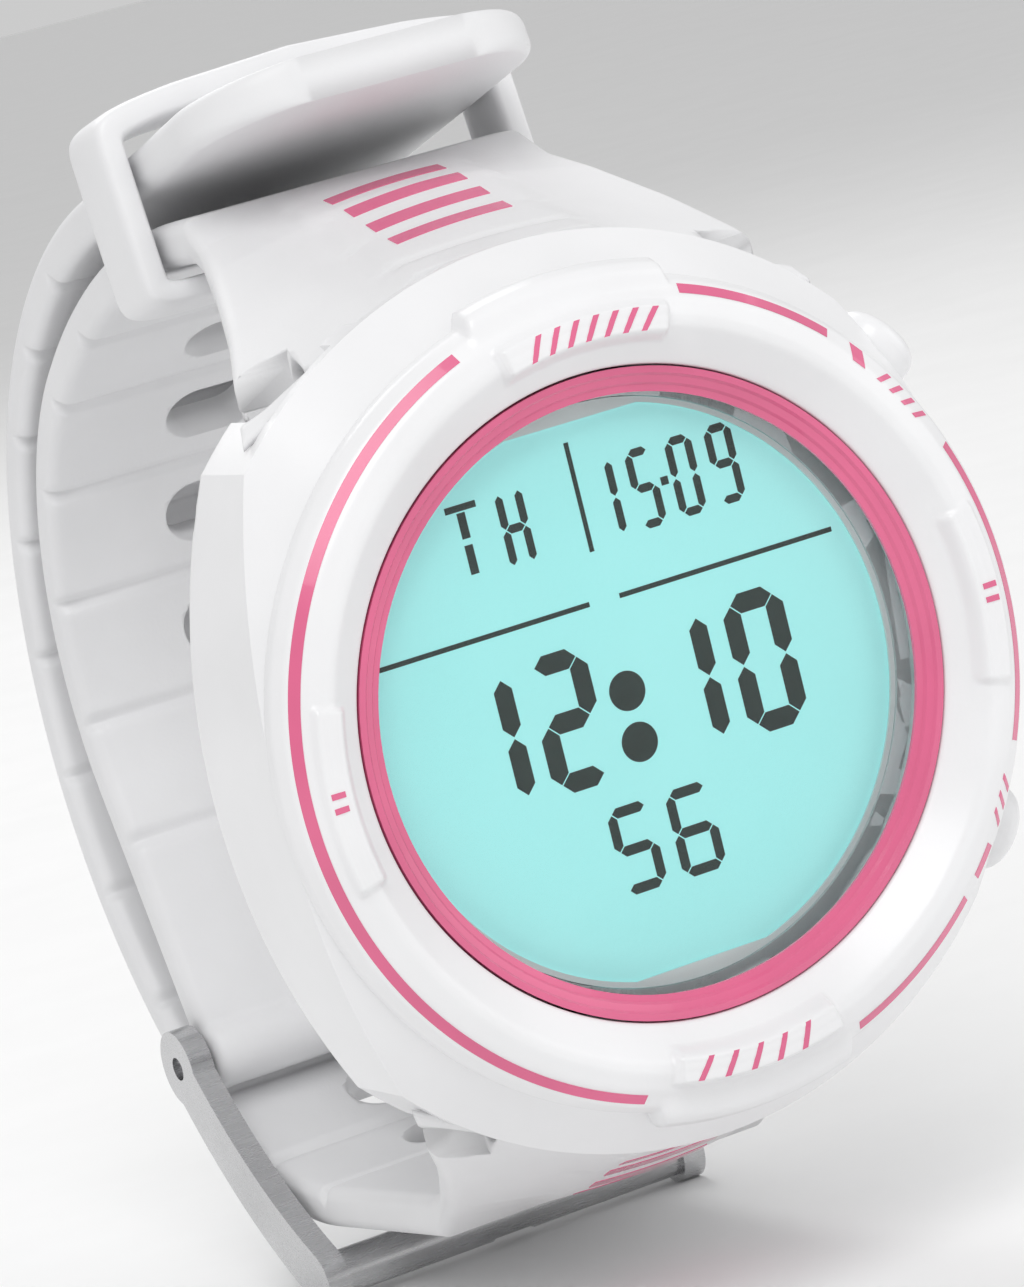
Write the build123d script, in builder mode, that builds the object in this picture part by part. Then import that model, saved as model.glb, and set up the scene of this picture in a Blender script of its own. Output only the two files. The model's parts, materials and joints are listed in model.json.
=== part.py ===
"""Wrist dive computer: round display, cushion case, moulded rubber strap closed round the wrist.

Millimetres.  X points to 3 o'clock, Z to 12 o'clock and Y out of the case back, into the wrist, so the
face looks along -Y.  The origin is the centre of the flat outer face of the case back.  A level
"h" is a height above that face towards the wearer's eye, so a piece at level h lies at y = -h.
"""
from build123d import *
import math
import os

os.makedirs("parts", exist_ok=True)

# ---- case ----------------------------------------------------------------------------------------
case_half_width = 24.5        # at 3 and 9 o'clock
case_side_radius = 43.0       # the long cushion sides
case_end_radius = 27.6        # the ends, centred on the dial
case_back_level = 1.2         # rear rim of the moulding
shoulder_level = 8.4          # where the ends start to lean in to the bezel
case_top_level = 11.8
shoulder_top_radius = 24.6
edge_round = 1.0

# ---- bore for the module and seat for the glass --------------------------------------------------
module_bore_radius = 17.6
module_floor_level = 5.2      # front of the flange that carries module and case back
battery_bay_radius = 14.6
lens_seat_level = 10.5
lens_bore_radius = 19.35
lens_radius = 18.6
lens_thickness = 1.8
seal_gap = 0.05               # round parts that are sealed or located by a neighbour
trim_gap = 0.10
over = 1.0                    # how far a cut runs past the face it opens

# ---- bezel ---------------------------------------------------------------------------------------
bezel_bore_radius = 19.4
bezel_crest_radius = 21.63
bezel_crest_level = 14.9
bezel_rim_radius = 24.75
bezel_slope = ((22.2, 15.0), (23.3, 14.65), (24.3, 13.85), (24.75, 12.8))   # (radius, level)
plate_inner_radius = 20.4
plate_outer_radius = 23.14
plate_level = 15.5
plate_half_angle = 14.5
plate_foot_level = 14.0
plate_inner_slope = 1.2
plate_outer_slope = 0.6
tick_drop = 0.25
tick_half_angle = 14.0
skirt_inner_radius = 21.2
skirt_outer_radius = 22.2
skirt_depth = 1.4
hood_half_width = 6.5         # raised bridge from bezel to strap at 12 and 6
hood_end_radius = 25.7
hood_profile = ((22.5, 14.4), (23.6, 14.2), (25.0, 13.0), (25.7, 12.2))     # (radius, level)
ring_inner_radius = 17.8      # coloured trim ring
ring_outer_radius = 19.3
ring_top_level = 13.2
ring_steps = ((18.9, 13.2), (18.75, 13.0), (18.35, 12.85), (18.2, 12.65), (17.8, 12.55))   # (radius, level)

# ---- case back, hatch and battery ----------------------------------------------------------------
back_plate_radius = 20.2
back_plate_thickness = 1.8
back_edge = 0.3
hatch_radius = 12.9
hatch_thickness = 2.7
hatch_gap = 0.10
hatch_seal_level = 0.95
bayonet_count = 3
bayonet_entry = 2.0           # degrees of room each side of a tab in its notch
bayonet_reach = 1.3
bayonet_thickness = 0.8
bayonet_angle = 22.0
bayonet_turn = 45.0
key_hole_radius = 1.2         # two blind holes for the hatch's pin key
key_hole_circle = 8.5
key_hole_depth = 1.2
back_screw_circle = 17.6
back_screw_count = 4
back_screw_radius = 0.8
back_screw_head_radius = 1.45
back_screw_head_depth = 0.8
back_screw_length = 3.4
back_screw_tip_room = 0.8
screw_cross = (1.7, 0.35, 0.5)       # length, width and depth of the driver recess
back_seal_circle = 15.3
back_seal_radius = 0.4
seal_slack = 0.01
hatch_seal_radius = 0.42
battery_radius = 12.25
battery_thickness = 3.0
battery_level = 2.9
battery_edge = 0.4

# ---- module --------------------------------------------------------------------------------------
frame_outer_radius = 17.4
board_radius = 16.6
board_level = 6.6
board_thickness = 0.8
lcd_radius = 17.45
lcd_half_height = 17.0
lcd_level = 9.0
lcd_thickness = 1.2
mask_radius = 17.55
mask_thickness = 0.15
window_radius = 17.2          # lit opening of the mask, a circle cut by two chords
window_half_height = 16.6
backlight_radius = 15.7
backlight_half_height = 14.2
backlight_level = 8.2
backlight_thickness = 0.6
connector_length = 9.0
connector_width = 1.2
connector_gap = 0.3
frame_wall_gap = 0.4
chip_blocks = (((-3.5, 3.0), (7.0, 7.0)), ((6.0, -4.0), (4.0, 4.0)), ((-7.0, -6.5), (3.2, 1.5)))
part_gap = 0.1                # between the chips and the light guide
buzzer_radius = 4.5
buzzer_centre = (5.2, 8.2)
buzzer_thickness = 0.45
contact_leaf = ((0, -4.0), (3.0, 10.0))      # centre and size of the leaf on the cell's face
contact_bridge = ((0, 6.5), (7.0, 3.0))
contact_clip = (0.4, 5.0)                    # the clip beside the cell's rim
contact_clip_lift = 0.6
switch_size = (0.7, 3.0, 1.6)
switch_lift = 0.35
switch_gap = 0.15
sensor_circle = 17.7
sensor_radius = 1.6
sensor_gap = 0.3
port_hole_radius = 0.3
port_hole_circle = 0.95
port_hole_count = 6

# ---- push buttons --------------------------------------------------------------------------------
button_angle = 34.0           # above and below the 3 o'clock line
button_level = 7.0
button_reach = 28.4           # outer end, from the dial's centre
button_radius = 2.7
button_travel = 1.2
button_cap_length = 4.2
button_clearance = 0.12
button_crown = 1.0
stem_radius = 1.0
stem_clearance = 0.06
stem_inner_end = 15.7
pocket_floor = 21.6
o_ring_depth = 1.2
o_ring_bore_radius = 2.1
o_ring_squeeze = 0.12
clip_radius = 1.5
clip_thickness = 0.45
clip_groove_depth = 0.25
clip_slack = 0.02
clip_mouth = 1.0
clip_window = 4.0             # square room for the clip in the module frame
spring_wire = 0.14            # wire radius
spring_radius = 1.7
spring_turns = 4

# ---- strap attachment ----------------------------------------------------------------------------
bar_reach = 23.0              # spring bar, from the dial's centre
bar_level = 5.5
bar_radius = 0.9
bar_half_length = 9.1
bar_bore_radius = 0.62
bar_stop = 3.5                # solid middle of the bar's tube
bar_crimp = 0.7
bar_running_gap = 0.05
tip_radius = 0.5
tip_flange_radius = 0.58
tip_flange_length = 1.0
tip_slack = 0.03
tip_spring_wire = 0.07
tip_spring_radius = 0.45
tip_spring_turns = 7
tip_reach = 11.0
ear_inner = 9.5
ear_outer = 12.5
ear_reach = 25.4
ear_rear_level = 3.3
recess_half_width = 17.5
recess_reach = 20.6
recess_level = 7.6
strap_gap = 0.2
eyelet_length = 4.0
eyelet_width = 2.4

# ---- strap ---------------------------------------------------------------------------------------
strap_half_width = 12.0
strap_thickness = 2.8
strap_start = 10.0            # where the flared end becomes the plain band
strap_height = 31.3           # centre line of the band there, above and below the dial's centre
short_lean = 1.5              # direction of the band there, degrees
long_lean = -4.2
# flared end: (y, half width, edge height, crown height, inner height)
flare = ((-7.4, 19.4, 20.4, 27.5, 18.8), (-4.0, 17.6, 24.2, 28.3, 18.8), (-1.0, 16.0, 26.4, 29.2, 18.8),
         (0.0, 15.6, 27.0, 29.5, 21.2), (5.0, 13.6, 29.6, 31.5, 26.8), (9.0, 12.3, 31.2, 32.5, 29.4),
         (11.5, 12.0, 32.5, 32.75, 29.95))
groove_radius = 0.45
tip_corner = 7.0
short_slot_start = 27.65
short_slot_count = 5
short_groove_start = 14.6
short_groove_count = 7
long_slot_start = 23.0
long_slot_count = 10
slot_length = 7.0             # across the strap
slot_width = 4.2
slot_pitch = 8.7
knuckle_radius = 2.3
short_first_bend = (50.0, 35.5)       # radius and turn of the piece from 12 o'clock
short_second_bend = (24.6, 74.3)
short_tail = 19.3
long_first_run = 18.5                 # the piece from 6 o'clock, out to its tip
long_bends = ((22.7, 48.3), (34.3, 89.4), (40.0, 32.6))
long_last_run = 26.3

# ---- buckle and keeper ---------------------------------------------------------------------------
pin_radius = 0.75
pin_clearance = 0.05
arm_gap = 0.55
arm_thickness = 1.6
arm_width = 4.0
arm_eye_radius = 2.6
buckle_reach = 19.9
buckle_slope = 221.3          # direction from pin to crossbar in the side view, degrees
buckle_bulge = 1.2
crossbar_radius = 1.5
rest_depth = 0.25             # flat on the crossbar, under the tongue's tip
pin_recess = 0.7              # pin's ends inside the arms' faces
tongue_thickness = 1.1
tongue_width = 2.4
tongue_side_gap = 0.4
tongue_eye_wall = 0.95
tongue_room = 1.2
tongue_cross_angle = 62.0     # where it passes through the slot, against the band
tongue_before = 2.8
tongue_after = 2.9
tongue_tip_height = 1.0
keeper_width = 6.0
keeper_wall = 1.8
keeper_floor = 1.6
keeper_gap = 0.9              # above and below the two bands, which curve inside the straight keeper
keeper_side_gap = 0.45
keeper_station = 7.0          # along the short piece, from the start of its plain band
keeper_arch = 1.2
keeper_corner = 2.0
keeper_window_corner = 0.6


def ring(points):
    """Closed face of (radius, level) corners, in the plane through the dial's axis and 12 o'clock."""
    with BuildSketch(Plane.YZ) as face:
        with BuildLine():
            Polyline(*[(-level, radius) for radius, level in points], close=True)
        make_face()
    return face.sketch


def clock_plane(angle):
    """Plane through the dial's axis, turned from 12 o'clock towards 3 o'clock by an angle."""
    a = math.radians(angle)
    return Plane(origin=(0, 0, 0), x_dir=(0, 1, 0), z_dir=(math.cos(a), 0, -math.sin(a)))


def radial_plane(angle, distance, level):
    """Plane square to a radius of the dial, at an angle above 3 o'clock; its normal points outwards."""
    a = math.radians(angle)
    outward = Vector(math.cos(a), 0, math.sin(a))
    return Plane(origin=outward * distance + Vector(0, -level, 0), x_dir=(0, 1, 0), z_dir=outward)


def cushion(grow=0.0):
    """Outline of the case seen from the front, grown by a clearance."""
    with BuildSketch() as outline:
        Circle(case_end_radius + grow)
        for side in (-1, 1):
            with Locations((side * (case_side_radius - case_half_width), 0)):
                Circle(case_side_radius + grow, mode=Mode.INTERSECT)
    return outline.sketch


def coil(radius, wire, turns, length):
    """Compression spring standing on its own XY plane."""
    pitch = length / turns
    with BuildPart() as spring:
        with BuildLine() as centre:
            Helix(pitch=pitch, height=length, radius=radius)
        with BuildSketch(Plane(origin=centre.line @ 0, z_dir=centre.line % 0)):
            Circle(wire)
        sweep(is_frenet=True)
    return spring.part


# ==== case ========================================================================================
case_outline = cushion()
case_height = case_top_level - case_back_level

with BuildPart() as mid_case:
    with BuildSketch(Plane.XZ.offset(case_back_level)):
        add(case_outline)
    extrude(amount=case_height)
    rear_edges = mid_case.edges().group_by(Axis.Y)[-1]
    fillet(rear_edges, radius=edge_round)
    # the ends lean in to the bezel
    add(ring([(0, case_back_level - over), (case_end_radius + over, case_back_level - over),
              (case_end_radius + over, shoulder_level), (case_end_radius, shoulder_level),
              (shoulder_top_radius, case_top_level), (0, case_top_level)]))
    revolve(axis=Axis.Y, mode=Mode.INTERSECT)
    # stepped bore: battery bay, module, glass
    for radius, low in ((battery_bay_radius, case_back_level - over), (module_bore_radius, module_floor_level),
                        (lens_bore_radius, lens_seat_level)):
        with BuildSketch(Plane.XZ.offset(low)):
            Circle(radius)
        extrude(amount=case_top_level + over - low, mode=Mode.SUBTRACT)
    # seat of the case back
    with BuildSketch(Plane.XZ.offset(case_back_level - over)):
        Circle(back_plate_radius + trim_gap)
    extrude(amount=back_plate_thickness + over - case_back_level, mode=Mode.SUBTRACT)
    # groove for the bezel's skirt
    add(ring([(skirt_inner_radius - trim_gap, case_top_level - skirt_depth - trim_gap),
              (skirt_outer_radius + trim_gap, case_top_level - skirt_depth - trim_gap),
              (skirt_outer_radius + trim_gap, case_top_level + over),
              (skirt_inner_radius - trim_gap, case_top_level + over)]))
    revolve(axis=Axis.Y, mode=Mode.SUBTRACT)
    # recess for each strap end, crossed by two ears that hold the spring bar
    for end in (-1, 1):
        recess_depth = case_end_radius + over - recess_reach
        with BuildSketch(Plane.XZ):
            with Locations((0, end * (recess_reach + recess_depth / 2))):
                Rectangle(2 * recess_half_width, recess_depth)
            ear_depth = ear_reach - recess_reach + over
            for side in (-1, 1):
                with Locations((side * (ear_inner + ear_outer) / 2, end * (ear_reach - ear_depth / 2))):
                    Rectangle(ear_outer - ear_inner, ear_depth, mode=Mode.SUBTRACT)
        extrude(amount=recess_level, mode=Mode.SUBTRACT)
        with BuildSketch(Plane.XZ):
            for side in (-1, 1):
                with Locations((side * (ear_inner + ear_outer) / 2, end * (recess_reach + ear_depth / 2))):
                    Rectangle(ear_outer - ear_inner, ear_depth)
        extrude(amount=ear_rear_level, mode=Mode.SUBTRACT)
    bar_centres = [(-bar_level, end * bar_reach) for end in (-1, 1)]
    with BuildSketch(Plane.YZ):
        with Locations(*bar_centres):
            Circle(tip_radius + pin_clearance)
    extrude(amount=ear_outer + over, both=True, mode=Mode.SUBTRACT)
    # button pockets and stem bores
    for angle in (-button_angle, button_angle):
        for radius, start in ((stem_radius + stem_clearance, module_bore_radius - over),
                              (o_ring_bore_radius, pocket_floor - o_ring_depth),
                              (button_radius + button_clearance, pocket_floor)):
            with BuildSketch(radial_plane(angle, start, button_level)):
                Circle(radius)
            extrude(amount=button_reach + over - start, mode=Mode.SUBTRACT)
    # screw holes and the sensor's port, in the flange
    with BuildSketch(Plane.XZ.offset(back_plate_thickness)):
        with PolarLocations(back_screw_circle, back_screw_count, start_angle=45):
            Circle(back_screw_radius + seal_gap)
    extrude(amount=back_screw_length - back_plate_thickness + back_screw_tip_room, mode=Mode.SUBTRACT)
    with BuildSketch(Plane.XZ):
        with Locations((0, -sensor_circle)):
            Circle(sensor_radius + seal_gap)
    extrude(amount=module_floor_level + over, mode=Mode.SUBTRACT)
    # gland for the case-back seal
    add(ring([(back_seal_circle - back_seal_radius, back_plate_thickness - over),
              (back_seal_circle + back_seal_radius, back_plate_thickness - over),
              (back_seal_circle + back_seal_radius, back_plate_thickness + 2 * back_seal_radius),
              (back_seal_circle - back_seal_radius, back_plate_thickness + 2 * back_seal_radius)]))
    revolve(axis=Axis.Y, mode=Mode.SUBTRACT)
mid_case.part.label = "mid_case"
export_step(mid_case.part, "parts/mid_case.step")

# ==== bezel, trim ring and glass ==================================================================
with BuildPart() as bezel:
    add(ring([(bezel_bore_radius, case_top_level), (bezel_bore_radius, ring_top_level),
              (bezel_crest_radius, bezel_crest_level), *bezel_slope, (bezel_rim_radius, case_top_level)]))
    revolve(axis=Axis.Y)
    add(ring([(skirt_inner_radius, case_top_level - skirt_depth),
              (skirt_outer_radius, case_top_level - skirt_depth),
              (skirt_outer_radius, case_top_level + over),
              (skirt_inner_radius, case_top_level + over)]))
    revolve(axis=Axis.Y)
    # raised plates at 12 and 6, small raised pads at 3 and 9
    tick_level = plate_level - tick_drop
    for centre, half, top in ((0, plate_half_angle, plate_level), (90, tick_half_angle, tick_level),
                              (180, plate_half_angle, plate_level), (270, tick_half_angle, tick_level)):
        with BuildSketch(clock_plane(centre - half)):
            with BuildLine():
                Polyline((-case_top_level, plate_inner_radius), (-plate_foot_level, plate_inner_radius),
                         (-top, plate_inner_radius + plate_inner_slope),
                         (-top, plate_outer_radius - plate_outer_slope),
                         (-top + plate_outer_slope, plate_outer_radius), (-case_top_level, plate_outer_radius),
                         close=True)
            make_face()
        revolve(axis=Axis.Y, revolution_arc=2 * half)
    # hoods: the bridge from bezel to strap
    hood_angle = math.degrees(math.asin(hood_half_width / hood_end_radius))
    for centre in (0, 180):
        with BuildSketch(clock_plane(centre - hood_angle)):
            with BuildLine():
                Polyline((-case_top_level, hood_profile[0][0]),
                         *[(-level, radius) for radius, level in hood_profile],
                         (-case_top_level, hood_end_radius), close=True)
            make_face()
        revolve(axis=Axis.Y, revolution_arc=2 * hood_angle)
bezel.part.label = "bezel"
export_step(bezel.part, "parts/bezel.step")

glass_top_level = lens_seat_level + lens_thickness

with BuildPart() as trim_ring:
    add(ring([(ring_inner_radius, glass_top_level), (ring_outer_radius, glass_top_level),
              (ring_outer_radius, ring_top_level), *ring_steps]))
    revolve(axis=Axis.Y)
trim_ring.part.label = "trim_ring"
export_step(trim_ring.part, "parts/trim_ring.step")

with BuildPart() as lens:
    with BuildSketch(Plane.XZ.offset(lens_seat_level)):
        Circle(lens_radius)
    extrude(amount=lens_thickness)
    chamfer(lens.edges().group_by(Axis.Y)[0], length=0.2)
lens.part.label = "lens"
export_step(lens.part, "parts/lens.step")

with BuildPart() as lens_seal:
    with BuildSketch(Plane.XZ.offset(lens_seat_level)):
        Circle(lens_bore_radius - seal_gap)
        Circle(lens_radius + seal_gap, mode=Mode.SUBTRACT)
    extrude(amount=lens_thickness - trim_gap)
lens_seal.part.label = "lens_seal"
export_step(lens_seal.part, "parts/lens_seal.step")

# ==== module ======================================================================================
with BuildPart() as display_mask:
    with BuildSketch(Plane.XZ.offset(lcd_level + lcd_thickness + seal_gap)):
        Circle(mask_radius)
        with BuildSketch(mode=Mode.PRIVATE) as window:
            Circle(window_radius)
            Rectangle(2 * window_radius, 2 * window_half_height, mode=Mode.INTERSECT)
        add(window.sketch, mode=Mode.SUBTRACT)
    extrude(amount=mask_thickness)
display_mask.part.label = "display_mask"
export_step(display_mask.part, "parts/display_mask.step")

with BuildPart() as lcd_panel:
    with BuildSketch(Plane.XZ.offset(lcd_level)):
        Circle(lcd_radius)
        Rectangle(2 * lcd_radius, 2 * lcd_half_height, mode=Mode.INTERSECT)
    extrude(amount=lcd_thickness)
lcd_panel.part.label = "lcd_panel"
export_step(lcd_panel.part, "parts/lcd_panel.step")

with BuildPart() as backlight:
    with BuildSketch(Plane.XZ.offset(backlight_level)):
        Circle(backlight_radius)
        Rectangle(2 * backlight_radius, 2 * backlight_half_height, mode=Mode.INTERSECT)
    extrude(amount=backlight_thickness)
backlight.part.label = "backlight"
export_step(backlight.part, "parts/backlight.step")

board_top_level = board_level + board_thickness
connector_centre = backlight_half_height + connector_gap + connector_width / 2

with BuildPart() as display_connectors:
    with BuildSketch(Plane.XZ.offset(board_top_level)):
        with Locations((0, connector_centre), (0, -connector_centre)):
            Rectangle(connector_length, connector_width)
    extrude(amount=lcd_level - board_top_level)
display_connectors.part.label = "display_connectors"
export_step(display_connectors.part, "parts/display_connectors.step")

with BuildPart() as module_frame:
    with BuildSketch(Plane.XZ.offset(module_floor_level)):
        Circle(frame_outer_radius)
    extrude(amount=lcd_level - module_floor_level)
    for radius, low in ((battery_bay_radius + frame_wall_gap, module_floor_level - over),
                        (board_radius + trim_gap, board_level)):
        with BuildSketch(Plane.XZ.offset(low)):
            Circle(radius)
        extrude(amount=lcd_level + over - low, mode=Mode.SUBTRACT)
    for angle in (-button_angle, button_angle):
        with BuildSketch(radial_plane(angle, stem_inner_end - button_travel, button_level)):
            Rectangle(clip_window, clip_window)
        extrude(amount=frame_outer_radius + over - stem_inner_end + button_travel, mode=Mode.SUBTRACT)
module_frame.part.label = "module_frame"
export_step(module_frame.part, "parts/module_frame.step")

switch_face = stem_inner_end - button_travel - switch_gap      # where a pushed stem stops short of the switch

with BuildPart() as circuit_board:
    with BuildSketch(Plane.XZ.offset(board_level)):
        Circle(board_radius)
    extrude(amount=board_thickness)
    for angle in (-button_angle, button_angle):
        with BuildSketch(radial_plane(angle, switch_face, button_level)):
            Rectangle(clip_window, clip_window)
        extrude(amount=board_radius + over - switch_face, mode=Mode.SUBTRACT)
circuit_board.part.label = "circuit_board"
export_step(circuit_board.part, "parts/circuit_board.step")

with BuildPart() as side_switches:
    for angle in (-button_angle, button_angle):
        with BuildSketch(radial_plane(angle, switch_face - switch_size[2], board_top_level + switch_lift)):
            Rectangle(switch_size[0], switch_size[1])
        extrude(amount=switch_size[2])
side_switches.part.label = "side_switches"
export_step(side_switches.part, "parts/side_switches.step")

with BuildPart() as chips:
    with BuildSketch(Plane.XZ.offset(board_top_level)):
        for centre, size in chip_blocks:
            with Locations(centre):
                Rectangle(*size)
    extrude(amount=backlight_level - board_top_level - part_gap)
chips.part.label = "chips"
export_step(chips.part, "parts/chips.step")

battery_top_level = battery_level + battery_thickness

with BuildPart() as battery:
    with BuildSketch(Plane.XZ.offset(battery_level)):
        Circle(battery_radius)
    extrude(amount=battery_thickness)
    chamfer(battery.edges().group_by(Axis.Y)[0], length=battery_edge)
battery.part.label = "battery"
export_step(battery.part, "parts/battery.step")

with BuildPart() as battery_contacts:
    # the negative leaf presses on the cell's face, the positive clip on its rim
    with BuildSketch(Plane.XZ.offset(battery_top_level)):
        for centre, size in (contact_leaf, contact_bridge):
            with Locations(centre):
                Rectangle(*size)
    extrude(amount=board_level - battery_top_level)
    with BuildSketch(Plane.XZ.offset(battery_level + contact_clip_lift)):
        with Locations((-(battery_radius + battery_bay_radius) / 2, 0)):
            Rectangle(*contact_clip)
    extrude(amount=board_level - battery_level - contact_clip_lift)
battery_contacts.part.label = "battery_contacts"
export_step(battery_contacts.part, "parts/battery_contacts.step")

with BuildPart() as buzzer:
    with BuildSketch(Plane.XZ.offset(board_top_level)):
        with Locations(buzzer_centre):
            Circle(buzzer_radius)
    extrude(amount=buzzer_thickness)
buzzer.part.label = "buzzer"
export_step(buzzer.part, "parts/buzzer.step")

with BuildPart() as pressure_sensor:
    with BuildSketch(Plane.XZ.offset(back_plate_thickness + sensor_gap)):
        with Locations((0, -sensor_circle)):
            Circle(sensor_radius)
    extrude(amount=module_floor_level - back_plate_thickness - sensor_gap)
pressure_sensor.part.label = "pressure_sensor"
export_step(pressure_sensor.part, "parts/pressure_sensor.step")

# ==== case back and hatch =========================================================================
hatch_bore_radius = hatch_radius + hatch_gap
tab_radius = hatch_radius + bayonet_reach

with BuildPart() as case_back:
    with BuildSketch(Plane.XZ):
        Circle(back_plate_radius)
        Circle(hatch_bore_radius, mode=Mode.SUBTRACT)
        with PolarLocations(back_screw_circle, back_screw_count, start_angle=45):
            Circle(back_screw_radius + trim_gap, mode=Mode.SUBTRACT)
        # water port over the depth sensor
        with Locations((0, -sensor_circle)):
            Circle(port_hole_radius, mode=Mode.SUBTRACT)
            with PolarLocations(port_hole_circle, port_hole_count):
                Circle(port_hole_radius, mode=Mode.SUBTRACT)
    extrude(amount=back_plate_thickness)
    with BuildSketch(Plane.XZ):
        with PolarLocations(back_screw_circle, back_screw_count, start_angle=45):
            Circle(back_screw_head_radius + trim_gap)
    extrude(amount=back_screw_head_depth, mode=Mode.SUBTRACT)
    # entry notches for the hatch's bayonet tabs
    notch_half_angle = bayonet_angle / 2 + bayonet_entry
    for tab in range(bayonet_count):
        with BuildSketch(clock_plane(tab * 360 / bayonet_count + bayonet_turn - notch_half_angle)):
            with BuildLine():
                Polyline((over, hatch_radius), (-back_plate_thickness - over, hatch_radius),
                         (-back_plate_thickness - over, tab_radius + trim_gap), (over, tab_radius + trim_gap),
                         close=True)
            make_face()
        revolve(axis=Axis.Y, revolution_arc=2 * notch_half_angle, mode=Mode.SUBTRACT)
    outer_edges = case_back.edges().filter_by(GeomType.CIRCLE).group_by(Axis.Y)[-1]
    chamfer(outer_edges.sort_by(SortBy.RADIUS)[-1], length=back_edge)
case_back.part.label = "case_back"
export_step(case_back.part, "parts/case_back.step")

with BuildPart() as case_back_screws:
    with BuildSketch(Plane.XZ):
        with PolarLocations(back_screw_circle, back_screw_count, start_angle=45):
            Circle(back_screw_head_radius)
    extrude(amount=back_screw_head_depth)
    with BuildSketch(Plane.XZ):
        with PolarLocations(back_screw_circle, back_screw_count, start_angle=45):
            Circle(back_screw_radius)
    extrude(amount=back_screw_head_depth + back_screw_length)
    with BuildSketch(Plane.XZ):
        with PolarLocations(back_screw_circle, back_screw_count, start_angle=45):
            Rectangle(screw_cross[0], screw_cross[1])
            Rectangle(screw_cross[1], screw_cross[0])
    extrude(amount=screw_cross[2], mode=Mode.SUBTRACT)
case_back_screws.part.label = "case_back_screws"
export_step(case_back_screws.part, "parts/case_back_screws.step")

with BuildPart() as case_back_seal:
    with BuildSketch(Plane.YZ):
        with Locations((-back_plate_thickness - back_seal_radius, back_seal_circle)):
            Circle(back_seal_radius - seal_slack)
    revolve(axis=Axis.Y)
case_back_seal.part.label = "case_back_seal"
export_step(case_back_seal.part, "parts/case_back_seal.step")

with BuildPart() as battery_hatch:
    with BuildSketch(Plane.XZ):
        Circle(hatch_radius)
    extrude(amount=hatch_thickness)
    # tabs that lock behind the case back
    for tab in range(bayonet_count):
        with BuildSketch(clock_plane(tab * 360 / bayonet_count - bayonet_angle / 2)):
            with BuildLine():
                Polyline((-hatch_thickness, hatch_radius - over), (-hatch_thickness, tab_radius),
                         (-hatch_thickness + bayonet_thickness, tab_radius),
                         (-hatch_thickness + bayonet_thickness, hatch_radius - over), close=True)
            make_face()
        revolve(axis=Axis.Y, revolution_arc=bayonet_angle)
    # seal groove and key holes
    add(ring([(hatch_radius - 2 * hatch_seal_radius + hatch_gap, hatch_seal_level - hatch_seal_radius),
              (hatch_radius + over, hatch_seal_level - hatch_seal_radius),
              (hatch_radius + over, hatch_seal_level + hatch_seal_radius),
              (hatch_radius - 2 * hatch_seal_radius + hatch_gap, hatch_seal_level + hatch_seal_radius)]))
    revolve(axis=Axis.Y, mode=Mode.SUBTRACT)
    with BuildSketch(Plane.XZ):
        with PolarLocations(key_hole_circle, 2):
            Circle(key_hole_radius)
    extrude(amount=key_hole_depth, mode=Mode.SUBTRACT)
battery_hatch.part.label = "battery_hatch"
export_step(battery_hatch.part, "parts/battery_hatch.step")

with BuildPart() as hatch_seal:
    with BuildSketch(Plane.YZ):
        with Locations((-hatch_seal_level, hatch_bore_radius - hatch_seal_radius)):
            Circle(hatch_seal_radius - seal_slack)
    revolve(axis=Axis.Y)
hatch_seal.part.label = "hatch_seal"
export_step(hatch_seal.part, "parts/hatch_seal.step")

# ==== push buttons ================================================================================
for name, angle in (("upper", button_angle), ("lower", -button_angle)):
    cap_start = button_reach - button_cap_length
    with BuildPart() as button:
        with BuildSketch(radial_plane(angle, cap_start, button_level)):
            Circle(button_radius)
        extrude(amount=button_cap_length)
        outer_rim = button.edges().filter_by(GeomType.CIRCLE).sort_by(lambda e: e.center().length)[-1]
        fillet(outer_rim, radius=button_crown)
        with BuildSketch(radial_plane(angle, stem_inner_end, button_level)):
            Circle(stem_radius)
        extrude(amount=cap_start - stem_inner_end + over)
        # groove for the clip that keeps the button in
        with BuildSketch(radial_plane(angle, module_bore_radius - seal_gap - clip_thickness - clip_slack,
                                      button_level)):
            Circle(stem_radius + over)
            Circle(stem_radius - clip_groove_depth, mode=Mode.SUBTRACT)
        extrude(amount=clip_thickness + 2 * clip_slack, mode=Mode.SUBTRACT)
    button.part.label = "button_" + name
    export_step(button.part, "parts/button_" + name + ".step")

    with BuildPart() as clip:
        with BuildSketch(radial_plane(angle, module_bore_radius - seal_gap - clip_thickness, button_level)):
            Circle(clip_radius)
            Circle(stem_radius - clip_groove_depth + seal_slack, mode=Mode.SUBTRACT)
            with Locations((0, clip_radius)):
                Rectangle(clip_mouth, 2 * clip_radius, mode=Mode.SUBTRACT)
        extrude(amount=clip_thickness)
    clip.part.label = "button_clip_" + name
    export_step(clip.part, "parts/button_clip_" + name + ".step")

    spring_room = cap_start - pocket_floor
    spring_plane = radial_plane(angle, pocket_floor + spring_wire, button_level)
    spring_length = spring_room - 2 * spring_wire
    spring = spring_plane.location * coil(spring_radius, spring_wire, spring_turns, spring_length)
    spring.label = "button_spring_" + name
    export_step(spring, "parts/button_spring_" + name + ".step")

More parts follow.
